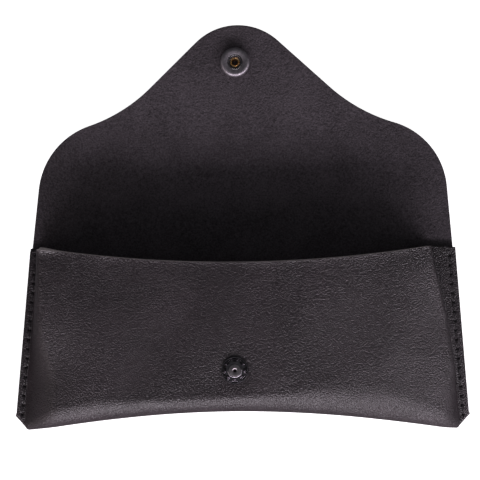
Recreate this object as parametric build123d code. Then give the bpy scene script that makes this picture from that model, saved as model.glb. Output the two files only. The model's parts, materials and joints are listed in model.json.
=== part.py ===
from build123d import *
import math
import os

# A soft leather pouch for spectacles, lying on its back and open.
# Millimetres. +X runs across the pouch, +Y from its bottom fold to the tip of the
# open flap, +Z up. The origin is under the middle of the whole open part.
# Heights and distances below are measured from the crease, where the flap leaves
# the pouch; the last step of each piece moves it to the origin above.

# Leather
LEATHER = 1.4            # thickness of every panel
FOLD_GAP = 0.2           # half the slit that stands for a crease in the rigid pieces

# Pouch body
CREASE_HALF = 82.5       # half width at the crease, over the two seam edges
BOTTOM_HALF = 88.0       # half width just above the bottom corners
CORNER_Y = -64.4         # where the slanted corner starts
BOTTOM_Y = -69.8         # lowest points of the bottom, at the corners
CORNER_HALF = 83.2       # half width where the slanted corner ends
PULL_IN = 7.2            # how far the filled middle draws the bottom fold up
DEPTH = 20.6             # outside height of the front panel above the back
FLANGE = 5.0             # width of the flat seam allowance beside the pocket
MOUTH_DIP = 5.0          # how far the middle of the mouth edge sits below the crease
WALL_LEAN = 4.0          # how far each side wall leans inwards over its height
WALL_OVERLAP = 1.0       # how far the seam allowance runs into the foot of the wall
SIDE_ROUND = 13.0        # rounding between side wall and front
CROWN = 0.6              # extra height of the wall section over the flat front
BACK_END_Y = -50.0       # line where the back panel becomes the bottom fold
OVERRUN = 12.0           # how far construction solids run past the leather
WIDE = 92.0              # half width of construction solids, wider than the pouch
TOOTH = 1.0              # how far a cutting tool starts outside the face it cuts

# Seam
SEAM_INSET = 2.5         # stitch line to cut edge
HOLES = 18               # needle holes in each side seam
FIRST_HOLE_Y = -2.4
LAST_HOLE_Y = -64.0
HOLE_R = 0.5
THREAD_R = 0.30
LOCK_R = 0.36            # the thread's bulge where it turns down into a hole
LEG_R = 0.25             # the thread pulled thin inside a hole
SLACK = 0.02             # clearance between a thread's bulge and the groove's floor
GROOVE_WIDTH = 0.9
GROOVE_DEPTH = 0.75

# Flap: outline of each half, measured from the tip's own centre line
TIP_X = -1.85            # the tip sits a little to the left of the pouch's middle
FLAP_LENGTH = 86.7
TIP_RADIUS = 23.2
LEFT_HALF = dict(base=79.9, lean=6.2, shoulder_y=23.1, shoulder_r=29.4, neck_r=62.7, slant=44.7)
RIGHT_HALF = dict(base=83.6, lean=5.6, shoulder_y=24.5, shoulder_r=28.6, neck_r=64.8, slant=41.6)

# Creases: where the flap turns up at the mouth and over on to the front
BACK_FOLD_Y = 2.15
BRIDGE = 22.6
FRONT_FOLD_Y = BACK_FOLD_Y + BRIDGE
FOLD_Z = 1.77            # height of both fold axes over the outer face of the leather

# Snap fastener
SNAP_X = -3.0            # measured like TIP_X, for the stud and the socket alike
SOCKET_Y = 72.3                                  # along the flap from the crease
STUD_Y = 2 * BACK_FOLD_Y + BRIDGE - SOCKET_Y     # where the folded flap brings the socket
CAP_RISE = 2.3
BARREL_R = 1.6
BARREL_BORE_R = 1.25
BARREL_HOLE_R = 1.65
SPRING_WIRE_R = 0.25
SPRING_RING_R = 2.72     # to the middle of the wire
SPRING_Z = 2.29          # height in the socket of the groove's middle
SPRING_GAP = 40.0        # degrees of the ring left open

# The open flap leans on its snap cap, so it rises a little from the crease
REST_TILT = math.degrees(math.atan2(CAP_RISE, SOCKET_Y - BACK_FOLD_Y))
FLAP_REACH = BACK_FOLD_Y + (FLAP_LENGTH - BACK_FOLD_Y) * math.cos(math.radians(REST_TILT))
CREASE_Y = -(FLAP_REACH + BOTTOM_Y) / 2          # puts the origin under the middle

FOLD_AXIS = Axis((0, BACK_FOLD_Y, FOLD_Z), (1, 0, 0))


def plate(wire, low, high):
    """A flat slab between two heights, cut to a closed outline."""
    face = Face(Wire(wire.edges()))
    if face.normal_at().Z < 0:
        face = -face
    return Pos(0, 0, low) * extrude(face, amount=high - low, dir=(0, 0, 1))


def box_between(corner, opposite):
    """A box given by two opposite corners."""
    size = [abs(b - a) for a, b in zip(corner, opposite)]
    middle = [(a + b) / 2 for a, b in zip(corner, opposite)]
    return Pos(*middle) * Box(*size)


def rod(start, end, radius):
    """A round bar between two points."""
    return Solid.make_cylinder(radius, (Vector(*end) - Vector(*start)).length,
                               Plane(origin=start, z_dir=Vector(*end) - Vector(*start)))


def turned(profile):
    """A solid of revolution about Z from a list of (radius, height) corners."""
    corners = [(r, 0, z) for r, z in profile]
    face = Face(Wire.make_polygon(corners, close=True))
    return revolve(face, Axis.Z, 360)


def seam_edge_x(y):
    """Half width over the cut seam edge at a distance from the crease."""
    return CREASE_HALF + (BOTTOM_HALF - CREASE_HALF) * y / CORNER_Y


def wall_foot_x(y):
    """Half width at the foot of the side wall."""
    return seam_edge_x(y) - FLANGE


def body_outline(top_y):
    """The pouch seen from above: tapered sides, slanted corners, hollow bottom."""
    left_top, right_top = (-seam_edge_x(top_y), top_y), (seam_edge_x(top_y), top_y)
    left_low, right_low = (-BOTTOM_HALF, CORNER_Y), (BOTTOM_HALF, CORNER_Y)
    left_end, right_end = (-CORNER_HALF, BOTTOM_Y), (CORNER_HALF, BOTTOM_Y)
    middle = (0, BOTTOM_Y + PULL_IN)
    return Wire([
        Edge.make_line(left_top, left_low), Edge.make_line(left_low, left_end),
        Edge.make_three_point_arc(left_end, middle, right_end),
        Edge.make_line(right_end, right_low), Edge.make_line(right_low, right_top),
        Edge.make_line(right_top, left_top),
    ])


def fold_section(x, inset):
    """Side view of the pocket at one station: flat front and back, round bottom."""
    pull = PULL_IN * (1 - (x / CORNER_HALF) ** 2)
    low, high = inset, DEPTH - inset
    radius = (high - low) / 2
    bottom = BOTTOM_Y + pull + inset
    centre = bottom + radius
    a, b = (x, OVERRUN, low), (x, centre, low)
    c, d = (x, centre, high), (x, OVERRUN, high)
    return Wire([
        Edge.make_line(a, b), Edge.make_three_point_arc(b, (x, bottom, low + radius), c),
        Edge.make_line(c, d), Edge.make_line(d, a),
    ])


def wall_section(y, inset):
    """Cross section of the pocket: leaning walls rounded into the front."""
    foot = wall_foot_x(y) - inset
    top, low = DEPTH + CROWN - inset, inset - TOOTH
    corners = [(-foot, y, low), (-foot + WALL_LEAN, y, top), (foot - WALL_LEAN, y, top), (foot, y, low)]
    outline = Face(Wire.make_polygon(corners, close=True))
    upper = [v for v in outline.vertices() if v.Z > DEPTH / 2]
    return outline.fillet_2d(SIDE_ROUND - inset, upper).outer_wire()


def pocket(inset):
    """The filled shape of the pocket, pulled in all round by a thickness."""
    folds = Solid.make_loft([fold_section(x, inset) for x in (-WIDE, 0.0, WIDE)])
    walls = Solid.make_loft([wall_section(y, inset) for y in (OVERRUN, BOTTOM_Y - OVERRUN)], ruled=True)
    return folds & walls


def pocket_plan(low, high, margin=0.0):
    """The area between the feet of the side walls, less a margin, as a block."""
    top, bottom = OVERRUN, BOTTOM_Y - OVERRUN
    top_half, bottom_half = wall_foot_x(top) - margin, wall_foot_x(bottom) - margin
    corners = [(-top_half, top), (top_half, top), (bottom_half, bottom), (-bottom_half, bottom)]
    return plate(Wire.make_polygon(corners, close=True), low, high)


def hole_centres(side):
    """Places of the needle holes in one side seam, from the mouth to the corner."""
    step = (LAST_HOLE_Y - FIRST_HOLE_Y) / (HOLES - 1)
    rows = [FIRST_HOLE_Y + step * i for i in range(HOLES)]
    return [(side * (seam_edge_x(y) - SEAM_INSET), y) for y in rows]


def needle_holes():
    """Every needle hole as a thin round bar through both layers."""
    centres = hole_centres(-1) + hole_centres(1)
    return [rod((x, y, -TOOTH), (x, y, 2 * LEATHER + TOOTH), HOLE_R) for x, y in centres]


def stitch_groove(side, low, high):
    """The channel that the tight stitches press into one outer face."""
    (x0, y0), (x1, y1) = hole_centres(side)[0], hole_centres(side)[-1]
    turn = math.degrees(math.atan2(y1 - y0, x1 - x0))
    length = math.hypot(x1 - x0, y1 - y0) + 2 * GROOVE_WIDTH
    bar = Box(length, GROOVE_WIDTH, high - low)
    return Pos((x0 + x1) / 2, (y0 + y1) / 2, (low + high) / 2) * Rot(0, 0, turn) * bar


def back_panel():
    """The back: flat on the table, with the tongue that ends at the first fold."""
    sheet = plate(body_outline(0.0), 0, LEATHER)
    tongue = flap_slab(0.0, BACK_FOLD_Y - FOLD_GAP)
    sheet = sheet + tongue
    below_back_end = box_between((-WIDE, BACK_END_Y, -TOOTH), (WIDE, 2 * BOTTOM_Y, DEPTH))
    sheet = sheet - (pocket_plan(-TOOTH, LEATHER + TOOTH) & below_back_end)
    for side in (-1, 1):
        sheet = sheet - stitch_groove(side, -TOOTH, GROOVE_DEPTH)
    for hole in needle_holes():
        sheet = sheet - hole
    return sheet


def front_panel():
    """The front: flanges, side walls, front face and bottom fold, open at the mouth."""
    shell = pocket(0.0) - pocket(LEATHER)
    shell = shell - box_between((-WIDE, BACK_END_Y, -TOOTH), (WIDE, 2 * OVERRUN, LEATHER))
    flange = plate(body_outline(0.0), LEATHER, 2 * LEATHER)
    flange = flange - pocket_plan(0, 3 * LEATHER, WALL_OVERLAP)
    whole = shell + flange
    whole = whole & mouth_cut()
    for side in (-1, 1):
        whole = whole - stitch_groove(side, 2 * LEATHER - GROOVE_DEPTH, 2 * LEATHER + TOOTH)
    for hole in needle_holes():
        whole = whole - hole
    return whole - rod((SNAP_X, STUD_Y, DEPTH / 2), (SNAP_X, STUD_Y, DEPTH + TOOTH), BARREL_HOLE_R)


def mouth_cut():
    """Everything below the curved edge of the mouth."""
    left, right, middle = (-2 * CREASE_HALF, 0), (2 * CREASE_HALF, 0), (0, -MOUTH_DIP)
    edge_left, edge_right = (-CREASE_HALF, 0), (CREASE_HALF, 0)
    low_left, low_right = (left[0], 2 * BOTTOM_Y), (right[0], 2 * BOTTOM_Y)
    outline = Wire([
        Edge.make_line(left, edge_left), Edge.make_three_point_arc(edge_left, middle, edge_right),
        Edge.make_line(edge_right, right), Edge.make_line(right, low_right),
        Edge.make_line(low_right, low_left), Edge.make_line(low_left, left),
    ])
    return plate(outline, -TOOTH, DEPTH + TOOTH)


def flap_half(base, lean, shoulder_y, shoulder_r, neck_r, slant):
    """Joints between the arcs and lines of one flap edge, all on the +X side.

    The edge leaves the crease as a leaning line, turns in round the shoulder, turns
    out again round the neck, runs along the slanting flank and ends on the tip's arc.
    """
    lean, slant = math.radians(lean), math.radians(slant)
    across = Vector(math.sin(slant), math.cos(slant))
    along = Vector(math.cos(slant), -math.sin(slant))
    tip_centre = Vector(0, FLAP_LENGTH - TIP_RADIUS)
    tip_end = tip_centre + across * TIP_RADIUS
    line_end = Vector(base - shoulder_y * math.tan(lean), shoulder_y)
    shoulder = line_end - Vector(math.cos(lean), math.sin(lean)) * shoulder_r
    offset = tip_end + across * neck_r - shoulder
    half_b = offset.dot(along)
    flank = -half_b - math.sqrt(half_b ** 2 - offset.dot(offset) + (shoulder_r + neck_r) ** 2)
    flank_end = tip_end + along * flank
    neck = flank_end + across * neck_r
    turn = shoulder + (neck - shoulder) * (shoulder_r / (shoulder_r + neck_r))
    neck_middle = neck + ((flank_end + turn) * 0.5 - neck).normalized() * neck_r
    shoulder_middle = shoulder + ((turn + line_end) * 0.5 - shoulder).normalized() * shoulder_r
    return [Vector(base, 0), line_end, shoulder_middle, turn, neck_middle, flank_end, tip_end]


def flap_side_edges(points, side):
    """The edges of one flap side, from the crease to the tip's arc."""
    root, line_end, shoulder, turn, neck, flank_end, tip_end = [
        Vector(TIP_X + side * p.X, p.Y) for p in points]
    return [
        Edge.make_line(root, line_end), Edge.make_three_point_arc(line_end, shoulder, turn),
        Edge.make_three_point_arc(turn, neck, flank_end), Edge.make_line(flank_end, tip_end),
    ]


def flap_slab(from_y, to_y):
    """The part of the flap's leather between two distances from the crease."""
    left = flap_side_edges(flap_half(**LEFT_HALF), -1)
    right = flap_side_edges(flap_half(**RIGHT_HALF), 1)
    tip = Edge.make_three_point_arc(left[-1] @ 1, Vector(TIP_X, FLAP_LENGTH), right[-1] @ 1)
    root = Edge.make_line(right[0] @ 0, left[0] @ 0)
    slab = plate(Wire(left + [tip] + right + [root]), 0, LEATHER)
    return slab & box_between((-WIDE, from_y, -TOOTH), (WIDE, to_y, LEATHER + TOOTH))


def flap_bridge():
    """The strip that stands across the mouth when the flap is shut."""
    return flap_slab(BACK_FOLD_Y + FOLD_GAP, FRONT_FOLD_Y - FOLD_GAP)


def flap_front():
    """The pointed part of the flap, pierced for the snap."""
    hole = rod((SNAP_X, SOCKET_Y, -TOOTH), (SNAP_X, SOCKET_Y, LEATHER + TOOTH), BARREL_HOLE_R)
    return flap_slab(FRONT_FOLD_Y + FOLD_GAP, FLAP_LENGTH + TOOTH) - hole


def needle_thread(side):
    """The upper thread of one seam: bars between the holes and legs down to the lock."""
    height = 2 * LEATHER - GROOVE_DEPTH + LOCK_R + SLACK
    return thread_chain(side, height, LEATHER)


def bobbin_thread(side):
    """The lower thread of one seam, caught by the needle thread inside the holes."""
    height = GROOVE_DEPTH - LOCK_R - SLACK
    return thread_chain(side, height, LEATHER)


def thread_chain(side, height, lock):
    """Bars end to end along the seam with a leg in every hole."""
    centres = hole_centres(side)
    bars = [rod((*start, height), (*end, height), THREAD_R) for start, end in zip(centres, centres[1:])]
    locks = [Pos(x, y, height) * Sphere(LOCK_R) for x, y in centres]
    low, high = min(height, lock), max(height, lock)
    legs = [rod((x, y, low), (x, y, high), LEG_R) for x, y in centres]
    return Part() + bars + locks + legs


def snap_stud():
    """The male half: a rimmed base with a waisted knob and a countersunk bore."""
    profile = [
        (BARREL_HOLE_R, 0), (5.1, 0), (5.1, 0.6), (4.9, 0.8), (4.6, 0.8), (4.25, 0.35),
        (2.6, 0.35), (2.3, 0.7), (2.3, 1.9), (2.75, 2.25), (2.72, 2.55), (2.4, 2.84),
        (2.1, 2.9), (BARREL_HOLE_R, 2.1),
    ]
    return Pos(SNAP_X, STUD_Y, DEPTH) * turned(profile)


def stud_post():
    """The tubular rivet that holds the stud: its flange is inside the pocket."""
    profile = [
        (BARREL_BORE_R, -LEATHER - 0.5), (4.5, -LEATHER - 0.35), (4.75, -LEATHER - 0.1),
        (4.6, -LEATHER), (BARREL_R, -LEATHER), (BARREL_R, 2.1), (1.95, 2.72), (1.75, 2.8),
        (BARREL_BORE_R, 2.2),
    ]
    return Pos(SNAP_X, STUD_Y, DEPTH) * turned(profile)


def snap_socket():
    """The female half: a round-rimmed cup with a groove for the spring."""
    profile = [
        (BARREL_HOLE_R, 0), (4.9, 0), (5.6, 0.5), (5.75, 1.1), (5.65, 1.9), (5.2, 2.6),
        (4.6, 2.9), (4.0, 2.85), (3.2, 2.6), (2.9, 2.6), (2.9, 2.58), (3.4, 2.58),
        (3.4, 2.0), (2.9, 2.0), (2.9, 0.4), (BARREL_HOLE_R, 0.4),
    ]
    return Pos(SNAP_X, SOCKET_Y, LEATHER) * turned(profile)


def socket_spring():
    """The open wire ring in the socket's groove that grips the stud's waist."""
    station = Plane(origin=(SPRING_RING_R, 0, 0), x_dir=(1, 0, 0), z_dir=(0, 1, 0))
    section = Face(Wire.make_circle(SPRING_WIRE_R, station))
    ring = revolve(section, Axis.Z, 360 - SPRING_GAP)
    return Pos(SNAP_X, SOCKET_Y, LEATHER + SPRING_Z) * Rot(0, 0, SPRING_GAP / 2) * ring


def snap_cap():
    """The domed cap on the outside of the flap, its rim curled round the post's flange."""
    profile = [
        (0, -CAP_RISE), (2.5, -CAP_RISE + 0.12), (4.6, -CAP_RISE + 0.6), (5.9, -1.05), (6.25, -0.5),
        (6.0, -0.1), (5.4, 0), (5.2, 0), (5.2, -0.25), (5.75, -0.55), (5.5, -0.95), (4.4, -1.35),
        (2.4, -1.78), (0, -1.9),
    ]
    return Pos(SNAP_X, SOCKET_Y, 0) * turned(profile)


def cap_post():
    """The brass post: flange inside the cap, barrel through leather and socket, end rolled out."""
    inner = LEATHER
    profile = [
        (BARREL_BORE_R, -0.5), (5.1, -0.5), (5.1, 0), (BARREL_R, 0), (BARREL_R, inner + 0.42),
        (1.9, inner + 0.5), (2.0, inner + 0.68), (1.85, inner + 0.85), (1.55, inner + 0.85),
        (BARREL_BORE_R, inner + 0.6),
    ]
    return Pos(SNAP_X, SOCKET_Y, 0) * turned(profile)


def place_flat(shape):
    """Moves a piece of the pouch from the crease to the part's origin."""
    return Pos(0, CREASE_Y, 0) * shape


def place_flap(shape):
    """Leans a piece of the flap on its cap, then moves it to the part's origin."""
    return place_flat(shape.rotate(FOLD_AXIS, REST_TILT))


def main():
    os.makedirs("parts", exist_ok=True)
    flat_pieces = {
        "back_panel": back_panel(),
        "front_panel": front_panel(),
        "seam_needle_thread_left": needle_thread(-1),
        "seam_needle_thread_right": needle_thread(1),
        "seam_bobbin_thread_left": bobbin_thread(-1),
        "seam_bobbin_thread_right": bobbin_thread(1),
        "snap_stud": snap_stud(),
        "stud_post": stud_post(),
    }
    flap_pieces = {
        "flap_bridge": flap_bridge(),
        "flap_front": flap_front(),
        "snap_socket": snap_socket(),
        "socket_spring": socket_spring(),
        "snap_cap": snap_cap(),
        "cap_post": cap_post(),
    }
    for name, shape in flat_pieces.items():
        export_step(place_flat(shape), f"parts/{name}.step")
    for name, shape in flap_pieces.items():
        export_step(place_flap(shape), f"parts/{name}.step")
    print("crease y", round(CREASE_Y, 3), "rest tilt", round(REST_TILT, 3))


if __name__ == "__main__":
    main()
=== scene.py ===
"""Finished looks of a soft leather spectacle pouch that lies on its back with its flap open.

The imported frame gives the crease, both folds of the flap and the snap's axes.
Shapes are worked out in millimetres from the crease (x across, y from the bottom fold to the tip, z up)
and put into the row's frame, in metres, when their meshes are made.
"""

import json
import logging
import math
from dataclasses import dataclass
from enum import Enum
from typing import Callable, Mapping, Sequence

import bpy
import numpy as np
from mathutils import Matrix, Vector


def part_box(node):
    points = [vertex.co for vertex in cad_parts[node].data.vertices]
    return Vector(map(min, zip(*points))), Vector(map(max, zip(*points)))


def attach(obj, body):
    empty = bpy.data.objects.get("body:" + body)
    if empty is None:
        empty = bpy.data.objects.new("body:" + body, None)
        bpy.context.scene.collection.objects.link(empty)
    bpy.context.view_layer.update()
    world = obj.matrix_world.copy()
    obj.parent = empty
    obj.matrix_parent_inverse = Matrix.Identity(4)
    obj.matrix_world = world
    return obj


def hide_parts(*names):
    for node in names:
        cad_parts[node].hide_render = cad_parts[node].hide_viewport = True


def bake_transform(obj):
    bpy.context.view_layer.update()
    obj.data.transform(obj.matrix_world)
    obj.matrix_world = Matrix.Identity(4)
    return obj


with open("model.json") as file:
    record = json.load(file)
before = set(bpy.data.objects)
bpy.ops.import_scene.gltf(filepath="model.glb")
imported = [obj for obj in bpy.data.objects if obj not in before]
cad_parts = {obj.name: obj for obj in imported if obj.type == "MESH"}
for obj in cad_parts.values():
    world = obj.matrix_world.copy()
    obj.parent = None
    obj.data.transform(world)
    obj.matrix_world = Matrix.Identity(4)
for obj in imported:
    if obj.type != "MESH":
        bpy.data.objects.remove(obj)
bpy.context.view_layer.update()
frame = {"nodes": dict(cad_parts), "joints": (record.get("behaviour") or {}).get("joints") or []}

Piece = bpy.types.Object
Material = bpy.types.Material
Socket = bpy.types.NodeSocket
Colour = tuple[float, float, float]

log = logging.getLogger("pouch")
MM = 0.001  # a millimetre, in metres
LEATHER = 1.4  # how thick the leather is, in millimetres
BEND_HALF = 3.93  # half the width over which the leather bends at a fold of the flap, in millimetres


def smooth(t: np.ndarray) -> np.ndarray:
    """Eases a value from 0 to 1, flat at both ends."""
    t = np.clip(t, 0.0, 1.0)
    return t * t * (3.0 - 2.0 * t)


def ramp(value: np.ndarray, start: float, end: float) -> np.ndarray:
    """Eases from 0 at start to 1 at end."""
    return smooth((np.asarray(value, float) - start) / (end - start))


def bezier(t: np.ndarray, a: float, b: float, c: float, d: float) -> np.ndarray:
    """A cubic curve from a to d, drawn towards b and c."""
    return (1 - t) ** 3 * a + 3 * (1 - t) ** 2 * t * b + 3 * (1 - t) * t * t * c + t ** 3 * d


def row(x: np.ndarray, y: np.ndarray | float, z: np.ndarray | float) -> np.ndarray:
    """One row of points across the pouch."""
    return np.stack(np.broadcast_arrays(x, y, z), axis=1)


@dataclass(frozen=True)
class Datum:
    """The places that the frame fixes, in millimetres from the crease.

    Attributes:
        crease_y: the crease in the row's frame, in metres.
        back_fold: (y, z) of the axis where the flap leaves the pouch.
        front_fold_y: distance along the flattened flap to the second axis.
        tilt: the open flap's slope, in radians.
        snap_x: the snap's place across the pouch.
        stud: (y, z) of the stud's seat on the front.
        socket_y: distance along the flattened flap to the socket.
    """

    crease_y: float
    back_fold: tuple[float, float]
    front_fold_y: float
    tilt: float
    snap_x: float
    stud: tuple[float, float]
    socket_y: float

    @classmethod
    def from_frame(cls) -> "Datum":
        """Reads the places from the joints and the snap's nodes.

        Returns:
            The places.
        """
        joints = {j["name"]: j["pos_m"] for j in frame["joints"]}
        back, front = joints["flap_back_fold"], joints["flap_front_fold"]
        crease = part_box("front_panel")[1].y
        rise, run = front[2] - back[2], front[1] - back[1]
        fold = ((back[1] - crease) / MM, back[2] / MM)
        stud_low, stud_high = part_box("snap_stud")
        stud_y = ((stud_low.y + stud_high.y) / 2 - crease) / MM
        ring_low, ring_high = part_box("snap_socket")
        middle_y = (ring_low.y + ring_high.y) / 2 - back[1]
        along = middle_y / math.cos(math.atan2(rise, run)) / MM
        return cls(crease, fold, fold[0] + math.hypot(rise, run) / MM, math.atan2(rise, run),
                   (stud_low.x + stud_high.x) / 2 / MM, (stud_y, stud_low.z / MM), fold[0] + along)

    def lean(self, points: np.ndarray, weight: np.ndarray) -> np.ndarray:
        """Turns points of the flattened flap about the back fold, up to the open flap's slope.

        Args:
            points: positions in millimetres from the crease.
            weight: for each point, 0 to stay with the pouch and 1 to follow the flap.

        Returns:
            The turned positions.
        """
        angle = self.tilt * weight
        y, z = points[..., 1] - self.back_fold[0], points[..., 2] - self.back_fold[1]
        turned = points.copy()
        turned[..., 1] = self.back_fold[0] + y * np.cos(angle) - z * np.sin(angle)
        turned[..., 2] = self.back_fold[1] + y * np.sin(angle) + z * np.cos(angle)
        return turned

    def to_row(self, points: np.ndarray) -> np.ndarray:
        """Millimetres from the crease to metres in the row's frame."""
        return points * MM + np.array([0.0, self.crease_y, 0.0])


class Shop:
    """The hand tools: selecting, adding and finishing meshes with Blender's operators."""

    @staticmethod
    def clear() -> None:
        """Deselects everything in object mode."""
        if bpy.context.object and bpy.context.object.mode != "OBJECT":
            bpy.ops.object.mode_set(mode="OBJECT")
        bpy.ops.object.select_all(action="DESELECT")

    @classmethod
    def only(cls, piece: Piece) -> None:
        """Selects one piece and makes it active.

        Args:
            piece: the piece.
        """
        cls.clear()
        piece.select_set(True)
        bpy.context.view_layer.objects.active = piece

    @staticmethod
    def named(name: str) -> Piece:
        """Names the piece that was just added, with its mesh.

        Args:
            name: its name.

        Returns:
            The piece.
        """
        piece = bpy.context.object
        piece.name = name
        piece.data.name = name
        return piece

    @classmethod
    def apply_modifiers(cls, piece: Piece) -> None:
        """Makes every modifier of a piece part of its mesh.

        Args:
            piece: the piece.
        """
        cls.only(piece)
        for modifier in list(piece.modifiers):
            bpy.ops.object.modifier_apply(modifier=modifier.name)

    @classmethod
    def grid(cls, name: str, points: np.ndarray) -> Piece:
        """Adds a grid and lays it over a table of points.

        Args:
            name: the piece's name.
            points: rows by columns by 3, in metres.

        Returns:
            The piece, one layer thick, its faces on the side where rows x columns turn right-handed.
        """
        rows, columns = points.shape[:2]
        cls.clear()
        bpy.ops.mesh.primitive_grid_add(x_subdivisions=columns - 1, y_subdivisions=rows - 1, size=2.0)
        piece = cls.named(name)
        piece.data.vertices.foreach_set("co", points.reshape(-1).astype(np.float32))
        piece.data.update()
        return piece

    @classmethod
    def lathe(cls, name: str, profile: Sequence[tuple[float, float]], sides: int,
              closed: bool = True) -> Piece:
        """Turns a profile about Z by extruding a circle along it.

        Args:
            name: the piece's name.
            profile: (radius, height) corners in millimetres, in order round the wall.
            sides: edges in each turn.
            closed: joins the last corner to the first, for a ring; a dome runs from pole to pole.

        Returns:
            The turned piece, its faces outwards.
        """
        cls.clear()
        radius, height = profile[0]
        middle = (0.0, 0.0, height * MM)
        bpy.ops.mesh.primitive_circle_add(vertices=sides, radius=radius * MM, location=middle)
        piece = cls.named(name)
        bpy.ops.object.mode_set(mode="EDIT")
        bpy.ops.mesh.select_all(action="SELECT")
        for radius_next, height_next in list(profile[1:]) + ([profile[0]] if closed else []):
            step = {"value": (0.0, 0.0, (height_next - height) * MM)}
            bpy.ops.mesh.extrude_region_move(TRANSFORM_OT_translate=step)
            scale = radius_next / radius
            bpy.ops.transform.resize(value=(scale, scale, 1.0), center_override=(0.0, 0.0, 0.0))
            radius, height = radius_next, height_next
        bpy.ops.mesh.select_all(action="SELECT")
        bpy.ops.mesh.remove_doubles(threshold=2e-6)
        bpy.ops.mesh.normals_make_consistent(inside=False)
        bpy.ops.object.mode_set(mode="OBJECT")
        cls.settle(piece)
        return piece

    @classmethod
    def settle(cls, piece: Piece) -> None:
        """Puts a piece's place into its mesh, so that its object sits at the origin."""
        cls.only(piece)
        bpy.ops.object.transform_apply(location=True, rotation=True, scale=True)

    @classmethod
    def soften(cls, piece: Piece, angle: float = 40.0) -> None:
        """Shades a piece smooth, keeping edges sharper than an angle in degrees."""
        cls.only(piece)
        bpy.ops.object.shade_smooth_by_angle(angle=math.radians(angle))

    @classmethod
    def bevel(cls, piece: Piece, width: float, segments: int, angle: float = 35.0) -> None:
        """Rounds the sharp edges of a piece.

        Args:
            piece: the piece.
            width: the width of the rounding, in millimetres.
            segments: faces across it.
            angle: edges sharper than this many degrees are rounded.
        """
        modifier = piece.modifiers.new("rounded", "BEVEL")
        modifier.width = width * MM
        modifier.segments = segments
        modifier.limit_method = "ANGLE"
        modifier.angle_limit = math.radians(angle)
        cls.apply_modifiers(piece)

    @staticmethod
    def copy(piece: Piece) -> Piece:
        """Adds a copy of a piece with a mesh of its own.

        Args:
            piece: the piece to copy.

        Returns:
            The copy.
        """
        twin = piece.copy()
        twin.data = piece.data.copy()
        bpy.context.scene.collection.objects.link(twin)
        return twin

    @classmethod
    def join(cls, name: str, pieces: list[Piece]) -> Piece:
        """Makes several meshes one piece.

        Args:
            name: the name of the joined piece.
            pieces: the meshes, the first of which stays.

        Returns:
            The joined piece.
        """
        cls.clear()
        for piece in pieces:
            piece.select_set(True)
        bpy.context.view_layer.objects.active = pieces[0]
        bpy.ops.object.join()
        return cls.named(name)


def points_of(piece: Piece) -> np.ndarray:
    """Every vertex of a piece, in metres.

    Args:
        piece: the piece.

    Returns:
        A row of x, y and z for each vertex.
    """
    points = np.empty(len(piece.data.vertices) * 3, np.float32)
    piece.data.vertices.foreach_get("co", points)
    return points.reshape(-1, 3).astype(float)


def set_points(piece: Piece, points: np.ndarray) -> None:
    """Moves every vertex of a piece, in metres."""
    piece.data.vertices.foreach_set("co", points.reshape(-1).astype(np.float32))
    piece.data.update()


# ---------------------------------------------------------------- finishes


class Side(Enum):
    """The three kinds of face that a leather panel shows."""

    GRAIN = 0
    FLESH = 1
    EDGE = 2


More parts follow.
